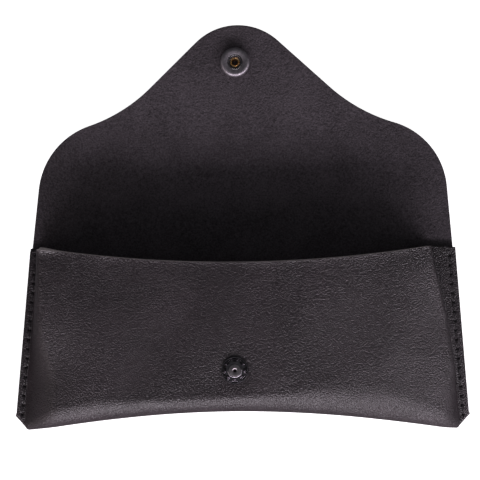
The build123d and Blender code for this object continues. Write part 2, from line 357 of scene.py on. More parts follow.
class Nodes:
    """A short way to build a material's node tree."""

    def __init__(self, name: str) -> None:
        """Starts a material with one Principled shader.

        Args:
            name: the material's name.
        """
        self.material = bpy.data.materials.new(name)
        self.material.use_nodes = True
        self.tree = self.material.node_tree
        self.shader = next(n for n in self.tree.nodes if n.type == "BSDF_PRINCIPLED")
        self.place = self.add("ShaderNodeTexCoord").outputs["Object"]

    def put(self, socket: Socket, value: object) -> None:
        """Links a pattern to a socket, or sets the socket to a plain value.

        Args:
            socket: the socket.
            value: the pattern or the value.
        """
        if isinstance(value, Socket):
            self.tree.links.new(value, socket)
        else:
            socket.default_value = value

    def add(self, kind: str, inputs: Mapping[str | int, object] | None = None,
            **settings: object) -> bpy.types.Node:
        """Adds a node.

        Args:
            kind: the node's type.
            inputs: values or patterns for its sockets, by name or number.
            settings: its properties.

        Returns:
            The node.
        """
        node = self.tree.nodes.new(kind)
        for key, value in settings.items():
            setattr(node, key, value)
        for key, value in (inputs or {}).items():
            self.put(node.inputs[key], value)
        return node

    def noise(self, scale: float, detail: float = 3.0, rough: float = 0.55) -> Socket:
        """Cloudy noise on the piece's own coordinates; scale is in waves to the metre."""
        inputs = {"Scale": scale, "Detail": detail, "Roughness": rough, "Vector": self.place}
        return self.add("ShaderNodeTexNoise", inputs).outputs["Fac"]

    def pebbles(self, scale: float) -> Socket:
        """Rounded cells, high in the middle and low where they meet.

        Args:
            scale: cells to the metre.

        Returns:
            Their height.
        """
        inputs = {"Scale": scale, "Smoothness": 0.6, "Vector": self.place}
        cells = self.add("ShaderNodeTexVoronoi", inputs, feature="SMOOTH_F1")
        return self.math("SUBTRACT", 1.0, cells.outputs["Distance"])

    def across(self) -> Socket:
        """The piece's own x coordinate, in metres."""
        return self.add("ShaderNodeSeparateXYZ", {0: self.place}).outputs[0]

    def math(self, operation: str, a: object, b: object) -> Socket:
        """One sum on two values or patterns."""
        return self.add("ShaderNodeMath", {0: a, 1: b}, operation=operation).outputs[0]

    def mix(self, *shares: tuple[Socket, float]) -> Socket:
        """Adds up patterns.

        Args:
            shares: each pattern with the share it is taken by.

        Returns:
            The sum.
        """
        total, *rest = (p if share == 1.0 else self.math("MULTIPLY", p, share) for p, share in shares)
        for pattern in rest:
            total = self.math("ADD", total, pattern)
        return total

    def scale(self, value: Socket, low: float, high: float,
              from_low: float = 0.3, from_high: float = 0.7) -> Socket:
        """Spreads a value over a new range.

        Args:
            value: the pattern.
            low: what from_low becomes.
            high: what from_high becomes.
            from_low: where the old range starts.
            from_high: where it ends.

        Returns:
            The spread pattern.
        """
        inputs = {"Value": value, "From Min": from_low, "From Max": from_high,
                  "To Min": low, "To Max": high}
        return self.add("ShaderNodeMapRange", inputs).outputs["Result"]

    def blend(self, factor: Socket, first: Colour, second: Colour) -> Socket:
        """Mixes two colours by a factor."""
        inputs = {"Factor": factor, "A": (*first, 1.0), "B": (*second, 1.0)}
        return self.add("ShaderNodeMix", inputs, data_type="RGBA").outputs["Result"]

    def bump(self, height: Socket, strength: float, depth: float) -> None:
        """Roughens the surface by a height; depth is in millimetres."""
        node = self.add("ShaderNodeBump", {"Strength": strength, "Distance": depth * MM, "Height": height})
        self.put(self.shader.inputs["Normal"], node.outputs["Normal"])

    def finish(self, **values: object) -> Material:
        """Sets the shader's own sockets: a number, a colour or a linked pattern.

        Args:
            values: what to set, by the socket's name in small letters.

        Returns:
            The material.
        """
        for key, value in values.items():
            self.put(self.shader.inputs[key.replace("_", " ").title().replace("Ior", "IOR")], value)
        return self.material


@dataclass(frozen=True)
class GrainLeather:
    """The outer face: black and finely pebbled, coarser towards +x, with a satin glow.

    Attributes:
        name: the material's name.
        dark: colour between the pebbles.
        light: colour on top of them.
        roughness: the smoothest and the roughest spots.
        pebble: pebbles to the metre.
        relief: height of the grain, in millimetres.
        coarseness: what the relief is multiplied by in the middle and on the right.
        coarse_at: distance from the middle, in metres, where the right value is reached.
    """

    name: str = "leather_smooth"
    dark: Colour = (0.0100, 0.0068, 0.0085)
    light: Colour = (0.0270, 0.0195, 0.0235)
    roughness: tuple[float, float] = (0.30, 0.42)
    pebble: float = 2000.0
    relief: float = 0.23
    coarseness: tuple[float, float] = (0.95, 1.28)
    coarse_at: float = 0.065

    def make(self) -> Material:
        """Builds the material.

        Returns:
            The material.
        """
        n = Nodes(self.name)
        clouds = n.noise(60.0, 4.0)
        cells = n.pebbles(self.pebble)
        fine = n.noise(4200.0, 2.0)
        broad = n.noise(700.0, 3.0)
        tone = n.mix((clouds, 0.45), (cells, 0.35), (fine, 0.35))
        colour = n.blend(n.scale(tone, 0.0, 1.0, 0.48, 0.74), self.dark, self.light)
        height = n.mix((cells, 1.0), (fine, 0.5), (broad, 0.25))
        coarseness = n.scale(n.across(), *self.coarseness, 0.0, self.coarse_at)
        n.bump(n.math("MULTIPLY", height, coarseness), 1.0, self.relief)
        rough = n.scale(broad, *self.roughness)
        return n.finish(base_color=colour, roughness=rough, specular_ior_level=0.5)


@dataclass(frozen=True)
class FleshLeather:
    """The inner face: black, matt and mottled, with a short nap."""

    name: str = "leather_flesh"
    dark: Colour = (0.012, 0.009, 0.011)
    light: Colour = (0.078, 0.066, 0.076)

    def make(self) -> Material:
        """Builds the material.

        Returns:
            The material.
        """
        n = Nodes(self.name)
        patches = n.noise(70.0, 5.0, 0.6)
        fibres = n.noise(1500.0, 2.0, 0.6)
        nap = n.noise(620.0, 3.0, 0.6)
        mottle = n.mix((patches, 0.25), (fibres, 0.55), (nap, 0.2))
        colour = n.blend(n.scale(mottle, 0.0, 1.0, 0.34, 0.66), self.dark, self.light)
        n.bump(n.mix((fibres, 1.0), (nap, 0.8)), 1.0, 0.30)
        n.finish(sheen_weight=0.12, sheen_roughness=0.5)
        return n.finish(base_color=colour, roughness=0.82, specular_ior_level=0.3)


@dataclass(frozen=True)
class CutEdge:
    """A raw cut edge: fibres in thin layers, brown-black; its pale copy on the mouth is a painted highlight.
    """

    name: str = "leather_edge"
    dark: Colour = (0.030, 0.022, 0.020)
    light: Colour = (0.110, 0.085, 0.075)

    def make(self) -> Material:
        """Builds the material.

        Returns:
            The material.
        """
        n = Nodes(self.name)
        fibres = n.noise(2600.0, 4.0, 0.7)
        colour = n.blend(n.scale(fibres, 0.0, 1.0, 0.35, 0.7), self.dark, self.light)
        n.bump(fibres, 0.6, 0.15)
        return n.finish(base_color=colour, roughness=0.75)


@dataclass(frozen=True)
class Thread:
    """Bonded black sewing thread."""

    name: str = "thread"
    dark: Colour = (0.0060, 0.0050, 0.0058)
    light: Colour = (0.0200, 0.0160, 0.0185)

    def make(self) -> Material:
        """Builds the material.

        Returns:
            The material.
        """
        n = Nodes(self.name)
        plies = n.noise(5200.0, 2.0)
        n.bump(plies, 0.4, 0.05)
        colour = n.blend(plies, self.dark, self.light)
        return n.finish(base_color=colour, roughness=0.50, specular_ior_level=0.40)


@dataclass(frozen=True)
class Metal:
    """A plated or bare metal, a little worn and smudged."""

    name: str
    dark: Colour
    light: Colour
    roughness: tuple[float, float]
    bump: float = 0.15

    def make(self) -> Material:
        """Builds the material.

        Returns:
            The material.
        """
        n = Nodes(self.name)
        wear = n.noise(900.0, 5.0, 0.6)
        smudge = n.noise(260.0, 3.0)
        n.bump(n.noise(4200.0, 2.0), self.bump, 0.02)
        colour = n.blend(n.scale(wear, 0.0, 1.0, 0.35, 0.72), self.dark, self.light)
        rough = n.scale(smudge, *self.roughness)
        return n.finish(base_color=colour, metallic=1.0, roughness=rough)


class Finishes:
    """Every material of the pouch, made once."""

    def __init__(self) -> None:
        """Builds the materials."""
        self.grain = GrainLeather().make()
        self.flesh = FleshLeather().make()
        self.edge = CutEdge().make()
        # painted highlight: a pale copy of the cut edge stands in for light that no lamp brings to the
        # mouth's upward-facing edge
        self.painted_highlight_edge = CutEdge("leather_edge_painted_highlight", (0.42, 0.37, 0.37), (0.66, 0.59, 0.59)).make()
        self.thread = Thread().make()
        metals = (
            Metal("snap_black", (0.11, 0.103, 0.114), (0.24, 0.226, 0.245), (0.12, 0.24)),
            Metal("snap_satin", (0.17, 0.156, 0.172), (0.30, 0.28, 0.30), (0.42, 0.54)),
            Metal("snap_worn", (0.22, 0.20, 0.212), (0.38, 0.35, 0.365), (0.24, 0.36)),
            Metal("spring_wire", (0.06, 0.06, 0.063), (0.15, 0.148, 0.15), (0.24, 0.38)),
            Metal("post_brass", (0.86, 0.48, 0.17), (1.0, 0.80, 0.48), (0.22, 0.38)),
        )
        made = [metal.make() for metal in metals]
        self.black_metal, self.satin_metal, self.worn_metal, self.spring, self.brass = made

    def dress_leather(self, piece: Piece) -> None:
        """Gives a panel its three leather finishes, in the order of Side."""
        for material in (self.grain, self.flesh, self.edge):
            piece.data.materials.append(material)


# ---------------------------------------------------------------- leather


@dataclass
class Leather:
    """One cut of leather: a mid surface that is given its thickness, rims and finishes."""

    finishes: Finishes
    rim_round: float = 0.36

    def thicken(self, piece: Piece) -> tuple[np.ndarray, int]:
        """Gives the sheet its thickness and dresses it.

        Args:
            piece: the mid surface, its faces on the grain side.

        Returns:
            The points of the thick sheet and how many of them, the first ones, lie on the grain side.
        """
        count = len(piece.data.vertices)
        self.finishes.dress_leather(piece)
        modifier = piece.modifiers.new("thickness", "SOLIDIFY")
        modifier.thickness = LEATHER * MM
        modifier.offset = 0.0
        modifier.use_even_offset = False
        modifier.use_quality_normals = True
        modifier.material_offset = Side.FLESH.value
        modifier.material_offset_rim = Side.EDGE.value
        Shop.apply_modifiers(piece)
        return points_of(piece), count

    def round_rims(self, piece: Piece) -> None:
        """Rounds the corners between the faces and the cut edges.

        Args:
            piece: a sheet that has its thickness and finishes.
        """
        mesh = piece.data
        material = np.empty(len(mesh.polygons), np.int32)
        mesh.polygons.foreach_get("material_index", material)
        on_rim: dict[tuple[int, int], int] = {}
        for polygon in mesh.polygons:
            if material[polygon.index] == Side.EDGE.value:
                for key in polygon.edge_keys:
                    on_rim[key] = on_rim.get(key, 0) + 1
        weights = mesh.attributes.new("bevel_weight_edge", "FLOAT", "EDGE")
        values = np.array([1.0 if on_rim.get(edge.key, 0) == 1 else 0.0 for edge in mesh.edges], np.float32)
        weights.data.foreach_set("value", values)
        modifier = piece.modifiers.new("rims", "BEVEL")
        modifier.limit_method = "WEIGHT"
        modifier.width = self.rim_round * MM
        modifier.segments = 2
        modifier.material = Side.EDGE.value
        modifier.use_clamp_overlap = True
        Shop.apply_modifiers(piece)
        Shop.soften(piece, 50.0)


@dataclass
class SeamLine:
    """The stitch line of both side seams, in millimetres from the crease."""

    crease_half: float = 82.5
    bottom_half: float = 88.0
    corner_y: float = -64.4
    inset: float = 2.5
    holes: int = 18
    first_y: float = -2.4
    last_y: float = -64.0

    def half(self, y: np.ndarray) -> np.ndarray:
        """Half width over the cut edges at a height."""
        y = np.maximum(np.asarray(y, float), self.corner_y)
        return self.crease_half + (self.bottom_half - self.crease_half) * y / self.corner_y

    def centres(self, side: int) -> np.ndarray:
        """The needle holes of one seam as rows of (x, y)."""
        y = np.linspace(self.first_y, self.last_y, self.holes)
        return np.stack([side * (self.half(y) - self.inset), y], axis=1)


@dataclass
class PouchBody:
    """The pouch: back, bottom fold and front in one cut, with the root of the flap.

    Lengths are in millimetres from the crease. The front is described by where its side walls
    start (foot) and end (ridge), by how high it stands, and by the curves of mouth and bottom.
    The stitch groove and the dimples at the needle holes are given as depth and reach. Only the
    mouth has a cut edge above mouth_level, which is painted pale as a highlight, and it curls up most at
    curl_x.
    """

    datum: Datum
    finishes: Finishes
    seam: SeamLine
    flap: "FlapOutline"
    split_y: float
    top: float = 19.9
    flange_top: float = 2.1
    back_mid: float = 0.7
    bottom_mid: float = -61.3
    bottom_corner_left: float = -69.6
    bottom_corner_right: float = -68.8
    corner_half: float = 83.2
    corner_end_y: float = -69.8
    mouth_corners: tuple[float, float] = (-75.8, 69.6)
    mouth_level: float = 12.0
    curl_x: float = -76.5
    groove: tuple[float, float] = (0.05, 0.60)
    dimple: tuple[float, float] = (0.90, 0.46)
    flange_columns: int = 17
    flat_columns: int = 5
    wall_columns: int = 18
    top_columns: int = 80
    front_end: float = -62.0
    front_rows: int = 150
    fold_rows: int = 26
    back_rows: int = 54
    tongue_rows: int = 22

    # -- outline curves

    def mouth_y(self, x: np.ndarray) -> np.ndarray:
        """The mouth edge seen from above, lowest left of the middle.

        Args:
            x: distances to the right of the middle.

        Returns:
            The edge at each of them.
        """
        left, right = self.mouth_corners
        curve = -4.75 + 0.013 * x + 0.00104 * x * x
        curve = np.where(x < left, 0.24 - 1.34 * (left - x) / 7.2, curve)
        return np.where(x > right, 1.19 - 0.39 * (x - right) / 13.4, curve)

    def bottom_y(self, x: np.ndarray) -> np.ndarray:
        """The bottom edge seen from above: hollow in the middle, cut off slantwise at the corners.

        Args:
            x: distances to the right of the middle.

        Returns:
            The edge at each of them.
        """
        reach = np.minimum(np.abs(x), self.corner_half) / self.corner_half
        low = np.where(x < 0.0, self.bottom_corner_left, self.bottom_corner_right)
        hollow = self.bottom_mid + (low - self.bottom_mid) * reach ** 1.9
        slope = (self.seam.corner_y - self.corner_end_y) / (self.seam.bottom_half - self.corner_half)
        return hollow + np.maximum(np.abs(x) - self.corner_half, 0.0) * slope

    def ridge(self, side: int, y: float) -> float:
        """How far from the middle the front turns down into the side wall.

        Args:
            side: -1 for the left and 1 for the right.
            y: the height on the pouch.

        Returns:
            The distance from the middle.
        """
        if side < 0:
            return 76.0 - 6.5 * float(ramp(-y, 26.0, 52.0))
        return float(np.interp(-y, (0.0, 6.0, 13.5, 20.5, 26.0, 45.0, 62.0),
                               (69.6, 70.7, 72.6, 74.2, 75.5, 77.0, 74.0)))

    def foot(self, side: int, y: float) -> float:
        """How far from the middle the side wall meets the seam allowance.

        Args:
            side: -1 for the left and 1 for the right.
            y: the height on the pouch.

        Returns:
            The distance from the middle.
        """
        if side < 0:
            return float(self.seam.half(y)) - 3.3
        return float(np.interp(-y, (0.0, 26.0, 45.0, 64.0), (71.9, 79.0, 82.0, 84.4)))

    def allowance(self, side: int, y: float) -> np.ndarray:
        """Columns of the flat seam allowance, close together beside the stitches.

        Args:
            side: -1 for the left and 1 for the right.
            y: the height on the pouch.

        Returns:
            Distances from the middle, from the cut edge to the wall.
        """
        edge, foot = float(self.seam.half(y)), self.foot(side, y)
        stitched = min(4.2, edge - foot - 0.4)
        outer = np.linspace(edge, edge - stitched, self.flange_columns + 1)
        return np.concatenate([outer, np.linspace(edge - stitched, foot, self.flat_columns + 1)[1:]])

    # -- cross sections

    def droop(self, side: int, y: float) -> float:
        """How far the front has sunk where it meets the side wall.

        Args:
            side: -1 for the left and 1 for the right.
            y: the height on the pouch.

        Returns:
            The drop below the top.
        """
        if side < 0:
            return 0.7 + 1.3 * float(ramp(-y, 5.0, 45.0))
        return 0.6 + 3.2 * float(ramp(-y, 4.0, 34.0))

    def wall(self, foot: float, ridge: float, top: float, side: int,
             y: float) -> tuple[np.ndarray, np.ndarray]:
        """One side wall from foot to ridge, which leaves the allowance flat and joins the front flat.

        Args:
            foot: where it leaves the seam allowance, as a distance from the middle.
            ridge: where it has turned into the front.
            top: height of the ridge.
            side: -1 for the left and 1 for the right.
            y: the height on the pouch.

        Returns:
            Distances from the middle and heights.
        """
        t = np.linspace(0.0, 1.0, self.wall_columns + 1)[1:]
        width = foot - ridge
        flat = min(1.0, 0.4 * width)
        crown = (2.6 if side < 0 else 1.9) + 3.0 * float(ramp(-y, 20.0, 50.0))
        low, shoulder = self.flange_top, top - 0.25
        return bezier(t, foot, foot - flat, ridge + crown, ridge), bezier(t, low, low, shoulder, shoulder)

    def section(self, y: float) -> tuple[np.ndarray, np.ndarray]:
        """The whole front at one height.

        Args:
            y: the height on the pouch.

        Returns:
            x and z from the left cut edge to the right one.
        """
        parts_x, parts_z = [], []
        for side in (-1, 1):
            rim = self.allowance(side, y)
            x, z = self.wall(rim[-1], self.ridge(side, y), self.top - self.droop(side, y), side, y)
            parts_x.append(side * np.concatenate([rim, x]))
            parts_z.append(np.concatenate([np.full(len(rim), self.flange_top), z]))
        left, right = parts_x[0][-1], parts_x[1][-1]
        across = np.linspace(-1.0, 1.0, self.top_columns + 1)[1:-1]
        x = (left + right) / 2 + across * (right - left) / 2
        z = self.top - 0.25 + 0.7 * (1.0 - np.abs(across) ** 2.4)
        for side, sag in ((-1, self.droop(-1, y)), (1, self.droop(1, y))):
            near = np.clip(1.0 - np.abs(x - (left if side < 0 else right)) / 24.0, 0.0, 1.0)
            z = z - sag * near * near
        return (np.concatenate([parts_x[0], x, parts_x[1][::-1]]),
                np.concatenate([parts_z[0], z, parts_z[1][::-1]]))

    def fold_depth(self, x: np.ndarray, height: np.ndarray) -> np.ndarray:
        """How far the bottom fold reaches beyond the place where the front starts to turn down."""
        reach = 0.75 * np.exp(-((x - 52.0) / 34.0) ** 2) + 0.30 * np.exp(-((x + 62.0) / 24.0) ** 2) - 0.40
        return height / 2 * (1.0 + reach * ramp(height, 4.0, 18.0))

    def swell(self, x: np.ndarray, y: np.ndarray) -> np.ndarray:
        """Small unevenness of the front: soft waves and the puckers beside the stud.

        Args:
            x: places across the pouch.
            y: heights on the pouch.

        Returns:
            How far each place is raised.
        """
        stud_x, stud_y = self.datum.snap_x, self.datum.stud[0]
        waves = 0.16 * np.sin(x / 11.0 + 1.3 * np.sin(y / 17.0)) * np.sin(y / 13.0 + 0.7)
        waves += 0.10 * np.sin(x / 5.3 - y / 9.0 + 0.4)
        dx, dy = x - stud_x, y - stud_y
        from_stud = np.hypot(dx, dy)
        pucker = 0.35 * np.exp(-((dx + 7.0) / 2.6) ** 2 - ((dy - 5.0) / 7.0) ** 2)
        seat = -0.30 * np.exp(-(from_stud / 6.2) ** 4)
        calm = 1.0 - np.exp(-(from_stud / 6.0) ** 2)
        return waves * calm + pucker + seat

    # -- the sheet

    def front(self) -> np.ndarray:
        """The front from the bottom fold up to the mouth, as rows of points.

        Returns:
            Rows of points, the lowest first.
        """
        rows = []
        fold_x, fold_z = self.section(self.front_end)
        for share in np.linspace(1.0, 0.0, self.front_rows + 1):
            x, z = self.section(self.front_end * share)
            start = self.bottom_y(fold_x) + self.fold_depth(fold_x, fold_z - self.back_mid)
            mouth = self.mouth_y(x)
            y = mouth + share * (start - mouth)
            raised = ramp(z, self.flange_top + 1.0, self.top)
            ease = smooth(np.minimum(1.0, (1.0 - share) * 8.0))
            back = mouth - y
            curl = 1.5 * np.exp(-((x - self.curl_x) / 4.2) ** 2 - back / 0.9)
            lip = 0.25 * np.exp(-back / 1.2) + curl
            z = z + (lip + self.swell(x, y) * ease) * raised
            rows.append(row(x, y, z))
        return np.array(rows)

    def fold(self, first: np.ndarray) -> np.ndarray:
        """The bottom fold, from the back round to the front.

        Args:
            first: the front's lowest row.

        Returns:
            Rows of points, without the lowest row of the front.
        """
        x, z = first[:, 0], first[:, 2]
        height = z - self.back_mid
        depth = self.fold_depth(x, height)
        rows = []
        for turn in np.linspace(math.pi, 0.0, self.fold_rows + 1)[:-1]:
            y = first[:, 1] - depth * math.sin(turn)
            level = self.back_mid + height / 2 * (1.0 + math.cos(turn))
            rows.append(row(x, y, level))
        return np.array(rows)

    def back(self, start: np.ndarray) -> np.ndarray:
        """The back from the crease down to the fold.

        Args:
            start: the fold's first row.

        Returns:
            Rows of points, without the fold's own first row.
        """
        rows = []
        base = self.seam.half(self.front_end)
        for share in np.linspace(0.0, 1.0, self.back_rows + 1)[:-1]:
            y = -0.05 + share * (start[:, 1] + 0.05)
            x = start[:, 0] * self.seam.half(y) / base
            rows.append(row(x, y, self.back_mid))
        return np.array(rows)

    def tongue(self, start: np.ndarray) -> np.ndarray:
        """The root of the flap, from the middle of the bridge down to the crease.

        Args:
            start: the fold's first row, which shares out the columns.

        Returns:
            Rows of points.
        """
        rows = []
        for y in np.linspace(self.split_y, 0.25, self.tongue_rows + 1):
            left, right = self.flap.sides(y)
            share = start[:, 0] / self.seam.half(self.front_end)
            x = share * np.where(share < 0, left, right)
            rows.append(row(x, y, self.back_mid))
        return np.array(rows)

    def build(self) -> Piece:
        """Models the pouch's leather and blends its root across the back fold.

        Returns:
            The finished piece.
        """
        front = self.front()
        fold = self.fold(front[0])
        back = self.back(fold[0])
        tongue = self.tongue(fold[0])
        sheet = np.concatenate([tongue, back, fold, front])
        fold_y = self.datum.back_fold[0]
        weight = ramp(sheet[..., 1], fold_y - BEND_HALF, fold_y + BEND_HALF)
        weight[len(tongue) + len(back):] = 0.0
        sheet = self.datum.lean(sheet, weight)
        piece = Shop.grid("pouch_leather", self.datum.to_row(sheet))
        work = Leather(self.finishes)
        points, grain = work.thicken(piece)
        self.press_seams(points[:grain])
        set_points(piece, points)
        work.round_rims(piece)
        # painted highlight on the mouth's cut edge
        self.paint_mouth_highlight(piece)
        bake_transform(piece)
        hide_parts("back_panel", "front_panel")
        return piece

    def paint_mouth_highlight(self, piece: Piece) -> None:
        """Paints the mouth's cut edge, the only one high above the table, pale: a painted highlight where no
        lamp lights it.

        Args:
            piece: the pouch's leather.
        """
        # painted highlight: cut edges above mouth_level take the pale edge colour
        piece.data.materials.append(self.finishes.painted_highlight_edge)
        for face in piece.data.polygons:
            if face.material_index == Side.EDGE.value and face.center.z > self.mouth_level * MM:
                face.material_index = len(Side)

    def press_seams(self, points: np.ndarray) -> None:
        """Presses the stitch groove and the needle holes into the grain side.

        Args:
            points: the points of the grain side, in metres, which are moved.
        """
        local = (points - np.array([0.0, self.datum.crease_y, 0.0])) / MM
        upper = local[:, 2] > (self.flange_top + self.back_mid) / 2
        low = (local[:, 2] < self.flange_top + LEATHER) & (local[:, 1] < 1.0)
        for side in (-1, 1):
            centres = self.seam.centres(side)
            away = np.abs(side * local[:, 0] - (self.seam.half(local[:, 1]) - self.seam.inset))
            along = (local[:, 1] < centres[0, 1] + 1.2) & (local[:, 1] > centres[-1, 1] - 1.2)
            groove = self.groove[0] * np.exp(-(away / self.groove[1]) ** 2) * along
            gap = local[:, None, :2] - centres[None]
            spread = np.hypot(gap[..., 0], gap[..., 1]).min(axis=1)
            dimple = self.dimple[0] * np.exp(-(spread / self.dimple[1]) ** 2)
            depth = (groove + dimple) * low * (np.sign(local[:, 0]) == side)
            points[:, 2] += np.where(upper, -depth, depth) * MM


@dataclass(frozen=True)
class FlapHalf:
    """The measures of one half of the flap's edge, in millimetres and degrees.

    Attributes:
        base: half width at the crease.
        lean: slope of the side, inwards.
        shoulder_y: where the side ends and the round shoulder starts.
        shoulder_r: radius of the shoulder.
        neck_r: radius of the hollow neck.
        slant: slope of the straight flank.
    """

    base: float
    lean: float
    shoulder_y: float
    shoulder_r: float
    neck_r: float
    slant: float


@dataclass
class FlapOutline:
    """The flap's edge: leaning sides, round shoulders, hollow necks, straight flanks, round tip."""

    tip_x: float = -1.85
    length: float = 86.7
    tip_radius: float = 23.2
    left: FlapHalf = FlapHalf(79.9, 6.2, 23.1, 29.4, 62.7, 44.7)
    right: FlapHalf = FlapHalf(83.6, 5.6, 24.5, 28.6, 64.8, 41.6)

    def sides(self, y: float) -> tuple[float, float]:
        """Distances of the two leaning sides from the pouch's middle at a height.

        Args:
            y: the height, from the crease.

        Returns:
            The distances on the left and on the right.
        """
        halves = (self.left, self.right)
        left, right = (half.base - y * math.tan(math.radians(half.lean)) for half in halves)
        return left - self.tip_x, right + self.tip_x

    def half(self, spec: FlapHalf, from_y: float) -> np.ndarray:
        """One half of the edge, worked out on the +x side of the tip.

        Args:
            spec: the half's measures.
            from_y: the height on its side where it starts.

        Returns:
            Close points from there to the tip.
        """
        shoulder_r, neck_r = spec.shoulder_r, spec.neck_r
        lean, slant = math.radians(spec.lean), math.radians(spec.slant)
        across = np.array([math.sin(slant), math.cos(slant)])
        along = np.array([math.cos(slant), -math.sin(slant)])
        tip = np.array([0.0, self.length - self.tip_radius])
        tip_end = tip + across * self.tip_radius
        line_end = np.array([spec.base - spec.shoulder_y * math.tan(lean), spec.shoulder_y])
        shoulder = line_end - np.array([math.cos(lean), math.sin(lean)]) * shoulder_r
        offset = tip_end + across * neck_r - shoulder
        half_b = float(offset @ along)
        flank = -half_b - math.sqrt(half_b ** 2 - float(offset @ offset) + (shoulder_r + neck_r) ** 2)
        flank_end = tip_end + along * flank
        neck = flank_end + across * neck_r
        turn = shoulder + (neck - shoulder) * (shoulder_r / (shoulder_r + neck_r))
        start = np.array([spec.base - from_y * math.tan(lean), from_y])
        lines = [
            self.straight(start, line_end),
            self.arc(shoulder, shoulder_r, line_end, turn),
            self.arc(neck, neck_r, turn, flank_end),
            self.straight(flank_end, tip_end),
            self.arc(tip, self.tip_radius, tip_end, np.array([0.0, self.length])),
        ]
        return np.concatenate(lines)

    @staticmethod
    def straight(a: np.ndarray, b: np.ndarray, count: int = 60) -> np.ndarray:
        """Points along a line, without its end."""
        return a + np.linspace(0.0, 1.0, count, endpoint=False)[:, None] * (b - a)

    @staticmethod
    def arc(centre: np.ndarray, radius: float, a: np.ndarray, b: np.ndarray,
            count: int = 160) -> np.ndarray:
        """Points round the shorter arc from a to b, without its end.

        Args:
            centre: the middle of the arc.
            radius: its radius.
            a: its start.
            b: its end.
            count: how many points.

        Returns:
            The points.
        """
        first = math.atan2(*(a - centre)[::-1])
        sweep = (math.atan2(*(b - centre)[::-1]) - first + math.pi) % (2 * math.pi) - math.pi
        angle = first + np.linspace(0.0, 1.0, count, endpoint=False) * sweep
        return centre + radius * np.stack([np.cos(angle), np.sin(angle)], axis=1)

    def edge(self, from_y: float) -> np.ndarray:
        """The whole edge from the left side over the tip to the right side.

        Args:
            from_y: the height where both sides start.

        Returns:
            Close points along it.
        """
        left, right = self.half(self.left, from_y), self.half(self.right, from_y)
        left[:, 0] = self.tip_x - left[:, 0]
        right[:, 0] = self.tip_x + right[:, 0]
        tip = np.array([[self.tip_x, self.length]])
        return np.concatenate([left, tip, right[::-1]])


@dataclass
class Flap:
    """The pointed flap from the middle of its bridge to its tip, flesh side up."""

    datum: Datum
    finishes: Finishes
    outline: FlapOutline
    split_y: float
    side_run: float = 30.0
    columns: int = 150
    rows: int = 64

    @staticmethod
    def even(line: np.ndarray, count: int) -> np.ndarray:
        """Spaces points evenly along a line.

        Args:
            line: the points of the line.
            count: how many to give it.

        Returns:
            The even points.
        """
        run = np.concatenate([[0.0], np.cumsum(np.linalg.norm(np.diff(line, axis=0), axis=1))])
        at = np.linspace(0.0, run[-1], count)
        return np.stack([np.interp(at, run, line[:, k]) for k in range(2)], axis=1)

    def patch(self) -> np.ndarray:
        """The flattened flap as a table of points that follow its edge on three sides.

        Returns:
            Rows and columns of (x, y), from left to right.
        """
        edge = self.outline.edge(self.split_y)
        run = np.concatenate([[0.0], np.cumsum(np.linalg.norm(np.diff(edge, axis=0), axis=1))])
        left = self.even(edge[run <= self.side_run], self.rows + 1)
        right = self.even(edge[run >= run[-1] - self.side_run][::-1], self.rows + 1)
        between = edge[(run > self.side_run) & (run < run[-1] - self.side_run)]
        top = self.even(np.concatenate([left[-1:], between, right[-1:]]), self.columns + 1)
        low = self.even(np.stack([left[0], right[0]]), self.columns + 1)
        u = np.linspace(0.0, 1.0, self.columns + 1)[None, :, None]
        v = np.linspace(0.0, 1.0, self.rows + 1)[:, None, None]
        ruled = (1 - v) * low[None] + v * top[None] + (1 - u) * left[:, None] + u * right[:, None]
        corners = ((1 - u) * (1 - v) * low[0] + u * (1 - v) * low[-1]
                   + (1 - u) * v * top[0] + u * v * top[-1])
        return ruled - corners

    def build(self) -> Piece:
        """Models the flap's leather, turned whole about the back fold to the open flap's slope.

        Returns:
            The finished piece.
        """
        flat = self.patch()[:, ::-1]
        x, y = flat[..., 0], flat[..., 1]
        rise = 0.25 * ramp(y, 30.0, 80.0) * np.sin(x / 19.0 + 0.6) * np.sin(y / 21.0)
        from_snap = np.hypot(x - self.datum.snap_x, y - self.datum.socket_y)
        seat = -0.18 * np.exp(-(from_snap / 7.2) ** 4)
        calm = 1.0 - np.exp(-(from_snap / 12.0) ** 2)
        sheet = np.stack([x, y, LEATHER / 2 + rise * calm + seat], axis=-1)
        sheet = self.datum.lean(sheet, np.ones(x.shape))
        piece = Shop.grid("flap_leather", self.datum.to_row(sheet))
        work = Leather(self.finishes)
        work.thicken(piece)
        work.round_rims(piece)
        fold = np.array([[0.0, self.datum.front_fold_y, self.datum.back_fold[1]]])
        place = self.datum.to_row(self.datum.lean(fold, np.ones(1)))[0]
        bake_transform(piece)
        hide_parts("flap_bridge", "flap_front")
        return piece


# ---------------------------------------------------------------- threads


class Face(Enum):
    """The two outer faces of a side seam and the way that a thread dips from them."""

    FRONT = -1.0
    BACK = 1.0


